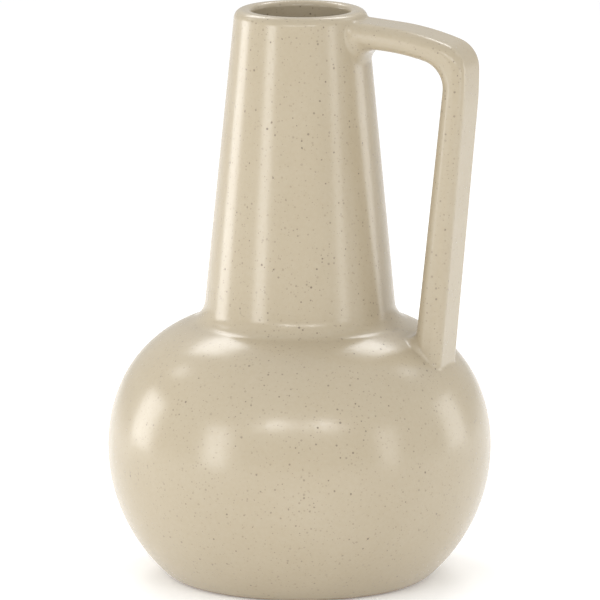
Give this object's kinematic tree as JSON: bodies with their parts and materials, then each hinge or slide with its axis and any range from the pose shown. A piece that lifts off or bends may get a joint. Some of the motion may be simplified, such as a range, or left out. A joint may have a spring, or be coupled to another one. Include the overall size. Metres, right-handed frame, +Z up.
{
  "type": "stoneware vase",
  "caption": "Stoneware bottle vase with a round belly, a tall tapering neck, a rounded lip and one angular strap handle from lip to shoulder.",
  "frame": {"origin": "centre of the flat foot ring, on the surface the vase stands on", "axes": "+Z up along the turning axis, +X towards the handle, +Y completes the right-handed frame"},
  "size_m": [0.1672, 0.1672, 0.25],
  "materials": {
    "speckled_glaze": "satin cream-beige glaze with fine brown iron specks",
    "bare_clay": "unglazed fired stoneware, matt and slightly sandy"
  },
  "bodies": {
    "root": {"foot_ring": "bare_clay", "base_slab": "speckled_glaze", "lower_bowl": "speckled_glaze", "shoulder_dome": "speckled_glaze", "neck_joint_coil": "speckled_glaze", "neck_tube": "speckled_glaze", "lip_coil": "speckled_glaze", "handle_strap": "speckled_glaze", "handle_upper_joint_coil": "speckled_glaze", "handle_lower_joint_coil": "speckled_glaze"}
  },
  "joints": []
}
